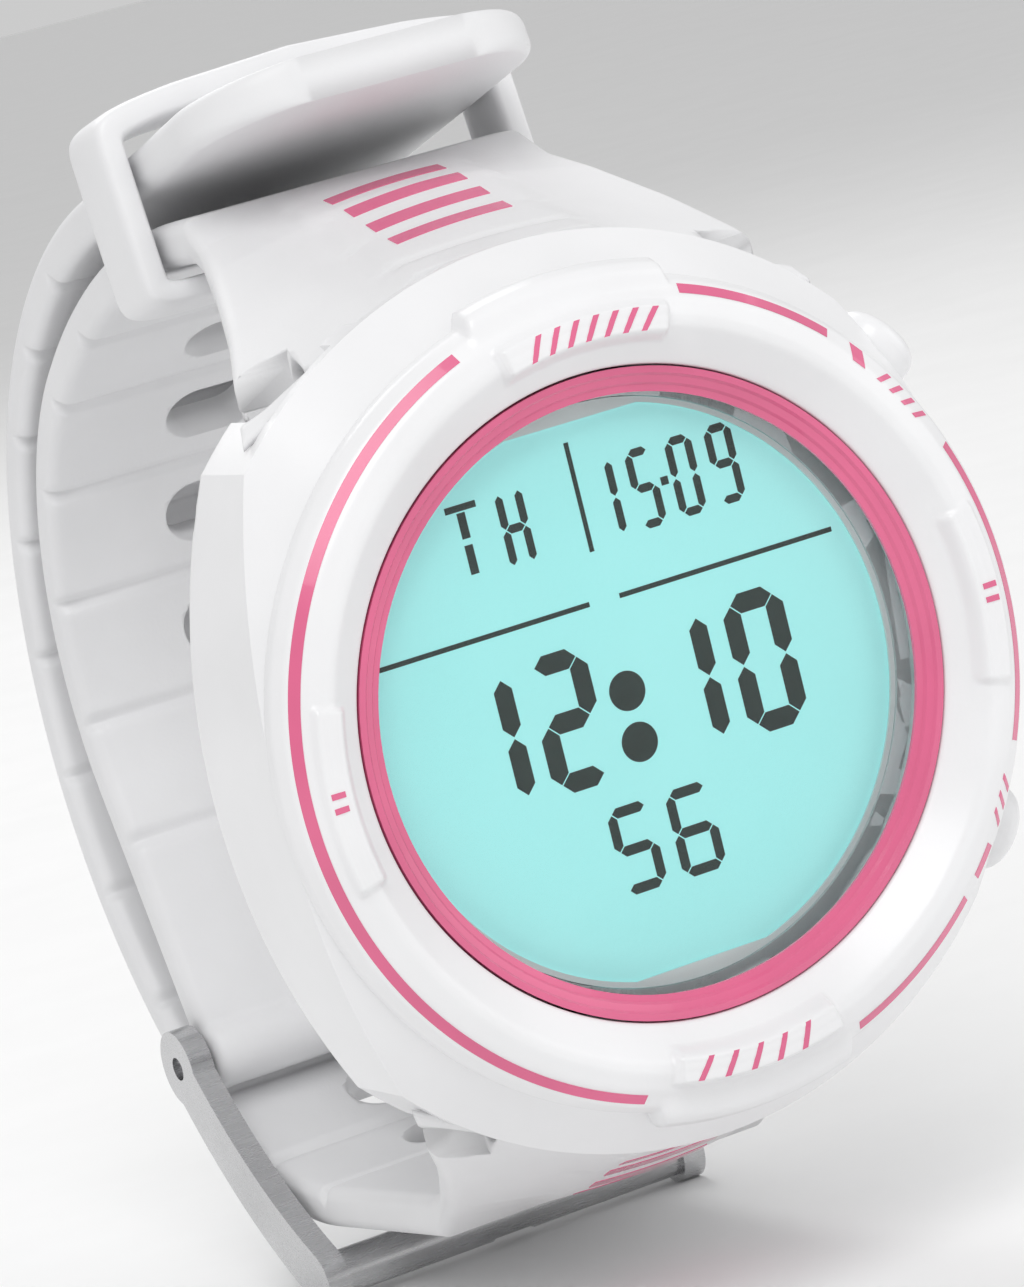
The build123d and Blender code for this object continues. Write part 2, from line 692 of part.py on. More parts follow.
with BuildPart() as button_seals:
    seal_wire = o_ring_depth / 2 - o_ring_squeeze
    for angle in (-button_angle, button_angle):
        plane = radial_plane(angle, pocket_floor - o_ring_depth / 2, button_level)
        with BuildSketch(Plane(origin=plane.origin, x_dir=plane.z_dir, z_dir=plane.x_dir)):
            with Locations((0, stem_radius + stem_clearance + seal_wire)):
                Circle(seal_wire)
        revolve(axis=Axis(plane.origin, plane.z_dir))
button_seals.part.label = "button_seals"
export_step(button_seals.part, "parts/button_seals.step")

# ==== spring bars =================================================================================
for name, end in (("top", 1), ("bottom", -1)):
    centre = (-bar_level, end * bar_reach)
    with BuildPart() as tube:
        with BuildSketch(Plane.YZ):
            with Locations(centre):
                Circle(bar_radius)
        extrude(amount=bar_half_length, both=True)
        for side in (-1, 1):
            flip = Plane.YZ if side > 0 else Plane(origin=(0, 0, 0), x_dir=(0, -1, 0), z_dir=(-1, 0, 0))
            spot = (side * centre[0], centre[1])
            with BuildSketch(flip.offset(bar_stop)):
                with Locations(spot):
                    Circle(bar_bore_radius)
            extrude(amount=bar_half_length - bar_crimp - bar_stop, mode=Mode.SUBTRACT)
            with BuildSketch(flip.offset(bar_stop)):
                with Locations(spot):
                    Circle(tip_radius + tip_slack)
            extrude(amount=bar_half_length - bar_stop + over, mode=Mode.SUBTRACT)
    tube.part.label = "spring_bar_" + name
    export_step(tube.part, "parts/spring_bar_" + name + ".step")

    for hand, side in (("left", -1), ("right", 1)):
        flip = Plane.YZ if side > 0 else Plane(origin=(0, 0, 0), x_dir=(0, -1, 0), z_dir=(-1, 0, 0))
        spot = (side * centre[0], centre[1])
        flange_start = bar_half_length - bar_crimp - seal_gap - tip_flange_length
        with BuildPart() as tip:
            with BuildSketch(flip.offset(flange_start)):
                with Locations(spot):
                    Circle(tip_flange_radius)
            extrude(amount=tip_flange_length)
            with BuildSketch(flip.offset(flange_start)):
                with Locations(spot):
                    Circle(tip_radius)
            extrude(amount=tip_reach - flange_start)
        tip.part.label = "bar_tip_" + name + "_" + hand
        export_step(tip.part, "parts/" + tip.part.label + ".step")

        root = flip.offset(bar_stop + tip_spring_wire)
        place = Plane(origin=root.from_local_coords((spot[0], spot[1], 0)), z_dir=root.z_dir)
        tip_spring = place.location * coil(tip_spring_radius, tip_spring_wire, tip_spring_turns,
                                          flange_start - bar_stop - 2 * tip_spring_wire)
        tip_spring.label = "bar_spring_" + name + "_" + hand
        export_step(tip_spring, "parts/" + tip_spring.label + ".step")

# ==== strap =======================================================================================
# Each band is drawn by its centre line in the side view, where x is Y and y is Z of the model.
def turned(degrees):
    """Unit direction in the side view."""
    return (math.cos(math.radians(degrees)), math.sin(math.radians(degrees)))


with BuildLine() as short_path:
    bend = JernArc((strap_start, strap_height), turned(short_lean), short_first_bend[0], -short_first_bend[1])
    bend = JernArc(bend @ 1, bend % 1, short_second_bend[0], -short_second_bend[1])
    Line(bend @ 1, bend @ 1 + (bend % 1) * short_tail)

with BuildLine() as long_path:
    first = Vector(strap_start, -strap_height)
    run = Line(first, first + Vector(*turned(long_lean)) * long_first_run)
    for radius, turn in long_bends:
        run = JernArc(run @ 1, run % 1, radius, turn)
    Line(run @ 1, run @ 1 + (run % 1) * long_last_run)

short_line = Wire(short_path.edges())
long_line = Wire(long_path.edges())
half_thick = strap_thickness / 2


def along(line, distance):
    """Point and direction of travel at a distance along a band's centre line."""
    share = distance / line.length
    return line @ share, line % share


def inner_side(line, distance, depth, hand):
    """Point below the centre line, on the wrist's side; hand is +1 if that lies left of the travel."""
    point, travel = along(line, distance)
    return point + Vector(-travel.Y, travel.X) * hand * depth


def square_to_band(line, distance):
    """Plane through a point of the centre line, square to the band's thickness."""
    point, travel = along(line, distance)
    return Plane(origin=(0, point.X, point.Y), x_dir=(1, 0, 0), z_dir=(0, -travel.Y, travel.X))


with BuildPart() as keep_out:
    # what the case fills, with the strap's clearance all round
    with BuildSketch(Plane.XZ.offset(case_back_level - strap_gap)):
        add(cushion(strap_gap))
    extrude(amount=case_height + over)
    with BuildSketch(Plane.XZ.offset(-strap_gap)):
        Circle(back_plate_radius + strap_gap)
    extrude(amount=case_height)
    for end in (-1, 1):
        room = 2 * case_end_radius - recess_reach
        with BuildSketch(Plane.XZ.offset(-over)):
            with Locations((0, end * (recess_reach + strap_gap + room / 2))):
                Rectangle(2 * (recess_half_width - strap_gap), room)
        extrude(amount=recess_level - strap_gap + over, mode=Mode.SUBTRACT)
        with BuildSketch(Plane.XZ.offset(-over)):
            for side in (-1, 1):
                with Locations((side * (ear_inner + ear_outer) / 2, end * (recess_reach + ear_reach) / 2)):
                    Rectangle(ear_outer - ear_inner + 2 * strap_gap, ear_reach - recess_reach + 2 * strap_gap)
        extrude(amount=recess_level + over)


def flared_end(end):
    """Solid that wraps one end of the case: +1 at 12 o'clock, -1 at 6 o'clock."""
    with BuildPart() as solid:
        for y, half, edge, crown, inner in flare:
            with BuildSketch(Plane.XZ.offset(-y)):
                with BuildLine():
                    ThreePointArc((-half, end * edge), (0, end * crown), (half, end * edge))
                    Polyline((half, end * edge), (half, end * inner), (-half, end * inner), (-half, end * edge))
                make_face()
        loft(ruled=True)
        add(keep_out.part, mode=Mode.SUBTRACT)
        with BuildSketch(Plane.YZ):
            with Locations((-bar_level, end * bar_reach)):
                Circle(bar_radius + bar_running_gap)
        extrude(amount=ear_outer, both=True, mode=Mode.SUBTRACT)
        for plane in (Plane.YZ.offset(ear_outer), Plane.YZ.offset(-ear_outer)):
            with BuildSketch(plane):
                with Locations((-bar_level, end * bar_reach)):
                    SlotOverall(eyelet_length, eyelet_width, rotation=90)
            extrude(amount=ear_outer if plane.origin.X > 0 else -ear_outer, mode=Mode.SUBTRACT)
    return solid.part


short_slots = [short_slot_start + slot_pitch * i for i in range(short_slot_count)]
short_grooves = [short_groove_start + slot_pitch * i for i in range(short_groove_count)]
long_slots = [long_slot_start + slot_pitch * i for i in range(long_slot_count)]
long_grooves = [long_slot_start + slot_pitch * (i - 0.5) for i in range(long_slot_count + 1)]
pin_centre = short_line @ 1
tongue_gap = tongue_width / 2 + tongue_side_gap

with BuildPart() as strap_top:
    with BuildSketch(Plane.YZ):
        with BuildLine():
            add(short_line)
        trace(line_width=strap_thickness)
        with Locations(pin_centre):
            Circle(knuckle_radius)
        with Locations(*[inner_side(short_line, s, half_thick, -1) for s in short_grooves]):
            Circle(groove_radius, mode=Mode.SUBTRACT)
        with Locations(pin_centre):
            Circle(pin_radius + pin_clearance, mode=Mode.SUBTRACT)
    extrude(amount=strap_half_width, both=True)
    with BuildSketch(Plane.YZ):
        with Locations(pin_centre):
            Circle(knuckle_radius + tongue_room)
    extrude(amount=tongue_gap, both=True, mode=Mode.SUBTRACT)
    for s in short_slots:
        with BuildSketch(square_to_band(short_line, s)):
            SlotOverall(slot_length, slot_width)
        extrude(amount=strap_thickness, both=True, mode=Mode.SUBTRACT)
    add(flared_end(1))
strap_top.part.label = "strap_top"
export_step(strap_top.part, "parts/strap_top.step")

with BuildPart() as strap_bottom:
    with BuildSketch(Plane.YZ):
        with BuildLine():
            add(long_line)
        trace(line_width=strap_thickness)
        with Locations(*[inner_side(long_line, s, half_thick, 1) for s in long_grooves]):
            Circle(groove_radius, mode=Mode.SUBTRACT)
    extrude(amount=strap_half_width, both=True)
    tip = Vector(0, (long_line @ 1).X, (long_line @ 1).Y)
    end_face = strap_bottom.faces().sort_by_distance(tip)[0]
    corners = end_face.edges().filter_by(lambda e: abs(e.length - strap_thickness) < 0.01)
    fillet(corners, radius=tip_corner)
    for s in long_slots:
        with BuildSketch(square_to_band(long_line, s)):
            SlotOverall(slot_length, slot_width)
        extrude(amount=strap_thickness, both=True, mode=Mode.SUBTRACT)
    add(flared_end(-1))
strap_bottom.part.label = "strap_bottom"
export_step(strap_bottom.part, "parts/strap_bottom.step")

# ==== buckle ======================================================================================
slope = Vector(*turned(buckle_slope))
outwards = Vector(-slope.Y, slope.X)
crossbar_centre = pin_centre + slope * buckle_reach
arm_middle = pin_centre + slope * (buckle_reach / 2) + outwards * buckle_bulge
arm_inner = strap_half_width + arm_gap
arm_outer = arm_inner + arm_thickness

with BuildPart() as buckle_frame:
    for plane in (Plane.YZ.offset(arm_inner), Plane.YZ.offset(-arm_outer)):
        with BuildSketch(plane):
            with BuildLine():
                ThreePointArc(pin_centre, arm_middle, crossbar_centre)
            trace(line_width=arm_width)
            with Locations(crossbar_centre):
                Circle(arm_width / 2)
            with Locations(pin_centre):
                Circle(arm_eye_radius)
                Circle(pin_radius + pin_clearance, mode=Mode.SUBTRACT)
        extrude(amount=arm_thickness)
    with BuildSketch(Plane.YZ):
        with Locations(crossbar_centre):
            Circle(crossbar_radius)
    extrude(amount=arm_outer, both=True)
    # rest for the tongue's tip
    with BuildSketch(Plane.YZ):
        with Locations(Location(crossbar_centre + outwards * (rest_depth + crossbar_radius), buckle_slope)):
            Rectangle(4 * crossbar_radius, 2 * crossbar_radius)
    extrude(amount=tongue_gap, both=True, mode=Mode.SUBTRACT)
buckle_frame.part.label = "buckle_frame"
export_step(buckle_frame.part, "parts/buckle_frame.step")

with BuildPart() as buckle_pin:
    with BuildSketch(Plane.YZ):
        with Locations(pin_centre):
            Circle(pin_radius)
    extrude(amount=arm_outer - pin_recess, both=True)
buckle_pin.part.label = "buckle_pin"
export_step(buckle_pin.part, "parts/buckle_pin.step")

hole_centre, hole_travel = along(long_line, long_slots[0])
through = hole_travel.rotate(Axis.Z, tongue_cross_angle)
tongue_tip = crossbar_centre + outwards * tongue_tip_height

with BuildPart() as buckle_tongue:
    with BuildSketch(Plane.YZ):
        with BuildLine():
            Polyline(pin_centre, hole_centre + through * tongue_before,
                     hole_centre - through * tongue_after, tongue_tip)
        trace(line_width=tongue_thickness)
        with Locations(pin_centre):
            Circle(pin_radius + pin_clearance + tongue_eye_wall)
            Circle(pin_radius + pin_clearance, mode=Mode.SUBTRACT)
    extrude(amount=tongue_width / 2, both=True)
buckle_tongue.part.label = "buckle_tongue"
export_step(buckle_tongue.part, "parts/buckle_tongue.step")

# ==== keeper ======================================================================================
below, below_travel = along(short_line, keeper_station)
tail_travel = (long_line % 1) * -1
slide = (below_travel + tail_travel).normalized()
across = Vector(-slide.Y, slide.X)
tail_end = long_line @ 1
# distance between the two centre lines, measured across the keeper
reach = tail_end - below
spread = reach.cross(tail_travel).Z / across.cross(tail_travel).Z
window_low = -half_thick - keeper_gap
window_high = spread + half_thick + keeper_gap
window_half = strap_half_width + keeper_side_gap
keeper_plane = Plane(origin=(0, below.X, below.Y), x_dir=(1, 0, 0), z_dir=(0, -slide.X, -slide.Y))


def keeper_outline(half, low, high, corner):
    """Rectangle with an arched top and rounded corners."""
    with BuildSketch() as outline:
        with BuildLine():
            Polyline((half, high), (half, low), (-half, low), (-half, high))
            ThreePointArc((-half, high), (0, high + keeper_arch), (half, high))
        make_face()
        fillet(outline.vertices(), radius=corner)
    return outline.sketch


with BuildPart() as keeper:
    with BuildSketch(keeper_plane.offset(-keeper_width / 2)):
        add(keeper_outline(window_half + keeper_wall, window_low - keeper_floor, window_high + keeper_wall,
                           keeper_corner))
        add(keeper_outline(window_half, window_low, window_high, keeper_window_corner), mode=Mode.SUBTRACT)
    extrude(amount=keeper_width)
keeper.part.label = "keeper"
export_step(keeper.part, "parts/keeper.step")
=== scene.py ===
# %% [markdown]
# # A wrist dive computer, finished for rendering
#
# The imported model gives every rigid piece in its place: case, glass, buttons, buckle and what is inside.
# This lesson keeps those pieces, gives each one a real finish, and makes again the pieces whose surfaces
# are soft or freely curved: the bezel, the two halves of the rubber strap and the keeper.  The printed
# marks and the segments of the display are made here too, because they are too thin for the model.

import json

import bmesh
import bpy
import numpy as np
from mathutils import Matrix, Vector
from mathutils.bvhtree import BVHTree


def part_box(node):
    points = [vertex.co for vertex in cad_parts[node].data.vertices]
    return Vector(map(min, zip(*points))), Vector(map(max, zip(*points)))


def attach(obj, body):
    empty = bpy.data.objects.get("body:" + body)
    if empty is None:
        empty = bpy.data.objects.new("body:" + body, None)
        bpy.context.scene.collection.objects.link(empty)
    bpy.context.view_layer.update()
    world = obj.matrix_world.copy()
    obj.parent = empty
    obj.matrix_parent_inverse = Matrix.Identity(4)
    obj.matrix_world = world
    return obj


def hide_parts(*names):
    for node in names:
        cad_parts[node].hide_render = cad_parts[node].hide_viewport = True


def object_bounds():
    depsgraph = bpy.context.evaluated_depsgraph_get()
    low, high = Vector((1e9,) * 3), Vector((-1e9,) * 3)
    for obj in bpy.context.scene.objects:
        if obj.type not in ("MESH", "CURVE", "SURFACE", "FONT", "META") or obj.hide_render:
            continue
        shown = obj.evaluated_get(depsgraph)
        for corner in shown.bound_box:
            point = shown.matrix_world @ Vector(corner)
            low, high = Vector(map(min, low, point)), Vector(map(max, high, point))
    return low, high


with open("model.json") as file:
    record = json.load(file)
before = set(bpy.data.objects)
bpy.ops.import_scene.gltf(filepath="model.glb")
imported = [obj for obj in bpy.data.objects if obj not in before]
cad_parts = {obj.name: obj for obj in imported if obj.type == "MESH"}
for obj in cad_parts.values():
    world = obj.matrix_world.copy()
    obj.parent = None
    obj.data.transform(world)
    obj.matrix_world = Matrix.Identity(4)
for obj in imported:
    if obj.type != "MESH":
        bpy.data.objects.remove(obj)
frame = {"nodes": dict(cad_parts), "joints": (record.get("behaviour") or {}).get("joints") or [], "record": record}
record = frame["record"]
cad_low, cad_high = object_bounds()
MM = 0.001
joints = {joint["name"]: joint for joint in frame["joints"]}
print("pieces in the frame:", len(frame["nodes"]), "and joints:", len(joints))

# %% [markdown]
# ## The camera
#
# The camera looks at the dial from the lower left of the wearer's view, slightly rolled, through a long
# lens.  A camera is a matrix of three directions and a place, so those are written straight into it.

# %% Camera
right = np.array([0.8682, -0.4341, -0.2397])
up = np.array([0.2756, 0.0206, 0.9612])
forward = np.array([0.4123, 0.9006, -0.1375])
eye = np.array([-0.152167, -0.32723, 0.053424])
camera_data = bpy.data.cameras.new("camera")
camera_data.lens = 167.8
camera_data.sensor_width = 36.0
camera_data.clip_start = 0.01
camera = bpy.data.objects.new("camera", camera_data)
bpy.context.scene.collection.objects.link(camera)
pose = np.eye(4)
pose[:3, 0], pose[:3, 1], pose[:3, 2], pose[:3, 3] = right, up, -forward, eye
camera.matrix_world = Matrix(pose.tolist())
bpy.context.scene.camera = camera
print("camera", np.round(eye, 3), "m")

# %% [markdown]
# ## Meshes from arrays
#
# Every new piece is a grid of points worked out at once.  One helper turns such a grid into a closed
# mesh.  A grid that closes both ways is a ring, and one that closes one way has its ends capped.


# %% Mesh helper
def mesh_object(name, points, faces, smooth=True):
    """Object at the origin from points in millimetres and faces."""
    mesh = bpy.data.meshes.new(name)
    mesh.from_pydata((points * MM).tolist(), [], [list(f) for f in faces])
    mesh.validate()
    mesh.shade_smooth() if smooth else mesh.shade_flat()
    thing = bpy.data.objects.new(name, mesh)
    bpy.context.scene.collection.objects.link(thing)
    return thing


def grid_faces(rows, columns, closed_rows=False, closed_columns=False):
    """Quads between neighbouring points of a rows by columns grid, wrapped where the grid is closed."""
    i = np.arange(rows if closed_rows else rows - 1)
    j = np.arange(columns if closed_columns else columns - 1)
    i, j = (a.ravel() for a in np.meshgrid(i, j, indexing="ij"))
    a, b = i * columns, ((i + 1) % rows) * columns
    k = (j + 1) % columns
    return np.stack([a + j, a + k, b + k, b + j], 1)


def outward(thing, merge=1e-7):
    """Merges doubled points and turns every face outwards."""
    work = bmesh.new()
    work.from_mesh(thing.data)
    bmesh.ops.remove_doubles(work, verts=work.verts, dist=merge)
    bmesh.ops.dissolve_degenerate(work, edges=work.edges, dist=merge)
    bmesh.ops.recalc_face_normals(work, faces=work.faces)
    work.to_mesh(thing.data)
    work.free()
    return thing


def smoothstep(low, high, value):
    """0 below low, 1 above high and a smooth rise between: 3t^2 - 2t^3."""
    t = np.clip((value - low) / (high - low), 0, 1)
    return t * t * (3 - 2 * t)


# %% [markdown]
# ## Finishes
#
# A finish is a Principled shader whose colour, roughness and normal vary a little over the surface, as
# on the real thing.  The maths is written as Python: a class wraps a socket, and each sum, difference or
# product adds its own node.


# %% Shader arithmetic
class Value:
    """A shader value.  a + b, a * b and so on add a Math node each, either way round."""

    def __init__(self, tree, socket):
        self.tree, self.socket = tree, socket

    def _math(self, operation, first, second):
        node = self.tree.nodes.new("ShaderNodeMath")
        node.operation = operation
        for slot, value in zip(node.inputs, (first, second)):
            if isinstance(value, Value):
                self.tree.links.new(value.socket, slot)
            else:
                slot.default_value = value
        return Value(self.tree, node.outputs[0])

    def __add__(self, other):
        return self._math("ADD", self, other)

    def __radd__(self, other):
        return self._math("ADD", other, self)

    def __sub__(self, other):
        return self._math("SUBTRACT", self, other)

    def __rsub__(self, other):
        return self._math("SUBTRACT", other, self)

    def __mul__(self, other):
        return self._math("MULTIPLY", self, other)

    def __rmul__(self, other):
        return self._math("MULTIPLY", other, self)


class Finish:
    """A material with a Principled shader, and one method that adds any other node."""

    def __init__(self, name, **constants):
        self.material = bpy.data.materials.new(name)
        self.material.use_nodes = True
        self.tree = self.material.node_tree
        self.shader = self.tree.nodes["Principled BSDF"]
        for socket, value in constants.items():
            self.shader.inputs[socket.replace("_", " ")].default_value = value

    def node(self, kind, settings=None, output=0, **inputs):
        """Adds a node: its settings first (a ramp's stops among them), then its sockets."""
        made = self.tree.nodes.new(kind)
        for key, value in (settings or {}).items():
            if key == "stops":
                for stop, (place, colour) in zip(made.color_ramp.elements, value):
                    stop.position, stop.color = place, (*colour, 1)
            else:
                setattr(made, key, value)
        for key, value in inputs.items():
            self.feed(made.inputs[key.replace("_", " ")], value)
        return Value(self.tree, made.outputs[output])

    def feed(self, socket, value):
        """Links a Value to a socket, or sets the socket."""
        if isinstance(value, Value):
            self.tree.links.new(value.socket, socket)
        else:
            socket.default_value = value

    def place(self, scale=(1, 1, 1)):
        """Object coordinates in metres, stretched."""
        here = self.node("ShaderNodeTexCoord", output=3)
        return self.node("ShaderNodeMapping", Vector=here, Scale=scale)

    def noise(self, scale, detail=3.0, stretch=(1, 1, 1)):
        """Cloudy value from 0 to 1; scale is in cells per metre."""
        return self.node("ShaderNodeTexNoise", Vector=self.place(stretch), Scale=scale, Detail=detail)

    def shades(self, dark, light, factor):
        """Colour between two, by a factor."""
        ramp = {"stops": ((0.3, dark), (0.7, light))}
        return self.node("ShaderNodeValToRGB", ramp, Fac=factor)

    def relief(self, height, distance, strength=1.0):
        """Bump of a height that varies from 0 to 1, in metres."""
        bump = self.node("ShaderNodeBump", Height=height, Distance=distance, Strength=strength)
        self.feed(self.shader.inputs["Normal"], bump)


# %% [markdown]
# ## One finish for each material of the object
#
# Moulded plastic has a fine orange-peel skin and faint clouding.  Rubber is duller, with a finer grain.
# Brushed steel has long streaks, which come from noise stretched along one direction.  Each family is
# one function, and the table below it holds the colours.


# %% Finish families
def moulded(name, colour, roughness, grain=2600, depth=6e-6, shift=0.03, **more):
    """Plastic or rubber: cloudy colour, roughness that follows the clouds, and a fine skin."""
    finish = Finish(name, **more)
    clouds = finish.noise(90)
    dark = tuple(max(c * (1 - shift), 0) for c in colour)
    light = tuple(min(c * (1 + shift), 1) for c in colour)
    finish.feed(finish.shader.inputs["Base Color"], finish.shades(dark, light, clouds))
    skin = finish.noise(grain, 2.0)
    finish.feed(finish.shader.inputs["Roughness"], roughness - 0.04 + 0.08 * clouds)
    finish.relief(skin, depth)
    return finish.material


def brushed(name, colour, roughness, stretch=(0.04, 1, 1), streaks=5200, depth=2e-6):
    """Metal with fine streaks along the axis that stretch squeezes."""
    finish = Finish(name, Metallic=1.0)
    streak = finish.noise(streaks, 2.0, stretch)
    clouds = finish.noise(160)
    dark = tuple(c * 0.86 for c in colour)
    finish.feed(finish.shader.inputs["Base Color"], finish.shades(dark, colour, clouds))
    finish.feed(finish.shader.inputs["Roughness"], roughness + 0.16 * streak + 0.06 * clouds)
    finish.relief(streak, depth)
    return finish.material


def turned_steel(name, colour, roughness):
    """Case-back steel with rings round the dial's axis, from a wave on Object coordinates."""
    finish = Finish(name, Metallic=1.0)
    rings = {"wave_type": "RINGS", "rings_direction": "Y"}
    ring = finish.node("ShaderNodeTexWave", rings, 1, Vector=finish.place(), Scale=900.0, Distortion=1.2)
    clouds = finish.noise(120)
    dark = tuple(c * 0.88 for c in colour)
    finish.feed(finish.shader.inputs["Base Color"], finish.shades(dark, colour, clouds))
    finish.feed(finish.shader.inputs["Roughness"], roughness + 0.14 * ring)
    finish.relief(ring, 1.5e-6)
    return finish.material


def clear_glass(name):
    """Flat glass: see-through face on, and a mirror at grazing angles by Fresnel's law."""
    finish = Finish(name, Roughness=0.02, Metallic=0.0)
    finish.shader.inputs["Base Color"].default_value = (0.9, 0.95, 0.95, 1)
    finish.feed(finish.shader.inputs["Roughness"], 0.01 + 0.02 * finish.noise(60))
    clear = finish.node("ShaderNodeBsdfTransparent", Color=(0.99, 1.0, 1.0, 1))
    edge = finish.node("ShaderNodeFresnel", IOR=1.25)
    mix = finish.tree.nodes.new("ShaderNodeMixShader")
    finish.feed(mix.inputs[0], edge)
    finish.feed(mix.inputs[1], clear)
    finish.tree.links.new(finish.shader.outputs[0], mix.inputs[2])
    finish.tree.links.new(mix.outputs[0], finish.tree.nodes["Material Output"].inputs[0])
    return finish.material


def display_with_painted_glow(name):
    """Liquid crystal: turquoise with a faint cell grid, and a painted glow that stands in for the brightness the
    glass takes away.
    """
    # The emission is painted light: a steady glow that brightens the display under the glass, not a lit backlight.
    finish = Finish(name, Emission_Strength=0.30, IOR=1.45)
    cells = finish.noise(7000, 1.0)
    glow = finish.noise(45)
    colour = finish.shades((0.36, 0.76, 0.75), (0.40, 0.80, 0.79), 0.75 * glow + 0.25 * cells)
    finish.feed(finish.shader.inputs["Base Color"], colour)
    finish.feed(finish.shader.inputs["Emission Color"], colour)
    finish.feed(finish.shader.inputs["Roughness"], 0.32 + 0.1 * cells)
    return finish.material


# %% The object's finishes, by material slot
WHITE, PINK = (0.86, 0.86, 0.87), (0.74, 0.13, 0.27)
finishes = {
    "case_plastic": moulded("case_plastic", WHITE, 0.30, Coat_Weight=0.25, Coat_Roughness=0.15),
    "strap_rubber": moulded("strap_rubber", (0.80, 0.80, 0.81), 0.46, 4200, 9e-6),
    "keeper_rubber": moulded("keeper_rubber", (0.84, 0.84, 0.85), 0.40, 4200, 8e-6),
    "trim_pink": moulded("trim_pink", PINK, 0.22, 3000, 3e-6, 0.08, Coat_Weight=0.5),
    "mask_print": moulded("mask_print", (0.84, 0.84, 0.84), 0.55, 5000, 2e-6),
    "diffuser": moulded("diffuser", (0.66, 0.84, 0.84), 0.50),
    "seal_rubber": moulded("seal_rubber", (0.020, 0.020, 0.022), 0.55, 3000, 6e-6, 0.2),
    "connector_rubber": moulded("connector_rubber", (0.52, 0.40, 0.20), 0.6, 3000, 6e-6, 0.2),
    "frame_plastic": moulded("frame_plastic", (0.035, 0.038, 0.042), 0.5, 2600, 8e-6, 0.15),
    "board": moulded("board", (0.012, 0.11, 0.045), 0.35, 2200, 8e-6, 0.3),
    "chip": moulded("chip", (0.012, 0.012, 0.014), 0.5, 3600, 6e-6, 0.2),
    "polished_steel": brushed("polished_steel", (0.62, 0.62, 0.63), 0.16),
    "spring_steel": brushed("spring_steel", (0.50, 0.50, 0.51), 0.22),
    "cell_steel": brushed("cell_steel", (0.66, 0.66, 0.66), 0.24, (1, 1, 0.05)),
    "sensor": brushed("sensor", (0.55, 0.56, 0.57), 0.28),
    "contact_brass": brushed("contact_brass", (0.72, 0.50, 0.17), 0.24),
    "back_steel": turned_steel("back_steel", (0.58, 0.58, 0.59), 0.20),
    "lens_glass": clear_glass("lens_glass"),
    "display": display_with_painted_glow("display"),
}
ink = moulded("display_ink", (0.022, 0.030, 0.026), 0.5, 5000, 1e-6, 0.1)
for part in record["subparts"]:
    materials = frame["nodes"][part["node"]].data.materials
    materials.clear()
    materials.append(finishes[part["material_slot"]])
print("finishes:", len(finishes), "on", len(record["subparts"]), "pieces")

# %% [markdown]
# ## The bezel
#
# The bezel is one soft-edged ring of moulded plastic.  It carries a raised plate at 12 and at 6, a
# raised pad at 3 and at 9, and a hood at each end that meets the strap.  A profile carried round a
# circle suits it: the raised parts are heights added by angle, so every edge stays softly moulded.


# %% Bezel
def rounded_profile(corners, softness, count):
    """Closed (radius, level) line through corners, resampled evenly and blurred along its length."""
    closed = np.vstack([corners, corners[:1]])
    length = np.concatenate([[0], np.cumsum(np.hypot(*np.diff(closed, axis=0).T))])
    even = np.linspace(0, length[-1], count, endpoint=False)
    line = np.stack([np.interp(even, length, closed[:, k]) for k in (0, 1)], 1)
    away = np.minimum(even, length[-1] - even)
    weight = np.exp(-0.5 * (away / softness) ** 2)
    spectrum = np.fft.fft(weight / weight.sum())[:, None]
    return np.real(np.fft.ifft(np.fft.fft(line, axis=0) * spectrum, axis=0))


bezel_corners = np.array([(19.4, 11.82), (19.4, 13.2), (21.63, 14.9), (22.2, 15.0), (23.3, 14.65),
                          (24.3, 13.85), (24.75, 12.8), (24.75, 11.82), (22.2, 11.82), (22.2, 10.44),
                          (21.2, 10.44), (21.2, 11.82)])
tops = bezel_corners[1:7]


def bezel_level(radius, clock):
    """Height of the top at a radius and a clock angle: the slope, or a plate or pad where one stands."""
    level = np.interp(radius, tops[:, 0], tops[:, 1])
    for centre, half, top in ((0, 14.5, 15.5), (180, 14.5, 15.5), (90, 14.0, 15.25), (270, 14.0, 15.25)):
        turn = np.abs((clock - centre + 180) % 360 - 180)
        inside = 1 - smoothstep(half - 0.5, half + 0.5, turn)
        inside = inside * smoothstep(20.6, 21.5, radius) * (1 - smoothstep(22.75, 23.15, radius))
        level = level + inside * np.maximum(top - level, 0)
    return level


profile = rounded_profile(bezel_corners, 0.16, 160)
angles = np.linspace(0, 360, 720, endpoint=False)
clock, radius = np.meshgrid(angles, profile[:, 0], indexing="ij")
level = np.broadcast_to(profile[:, 1], clock.shape)
on_top = smoothstep(13.0, 13.4, level)
raised = bezel_level(radius, clock) - np.interp(radius, tops[:, 0], tops[:, 1])
level = level + on_top * raised
across = np.abs(radius * np.sin(np.radians(clock)))
hood = (1 - smoothstep(6.2, 6.8, across)) * smoothstep(23.6, 24.7, radius)
radius = radius + 0.9 * hood
level = level + 0.25 * hood * on_top
ring = np.stack([radius * np.sin(np.radians(clock)), -level, radius * np.cos(np.radians(clock))], -1)
bezel = mesh_object("bezel_skin", ring.reshape(-1, 3), grid_faces(720, 160, True, True))
outward(bezel)
bezel.data.materials.append(finishes["case_plastic"])
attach(bezel, "case")
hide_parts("bezel")
print("bezel", len(bezel.data.polygons), "faces")

# %% [markdown]
# ## Painted marks
#
# The bezel is painted with long thin arcs, two short bars beside 3 and 9 o'clock, a small pointer and
# rows of slanted strokes.  The strokes stand where a maker would put words: they are plain marks that
# say nothing.  Each mark is a thin patch that follows the slope just above it.


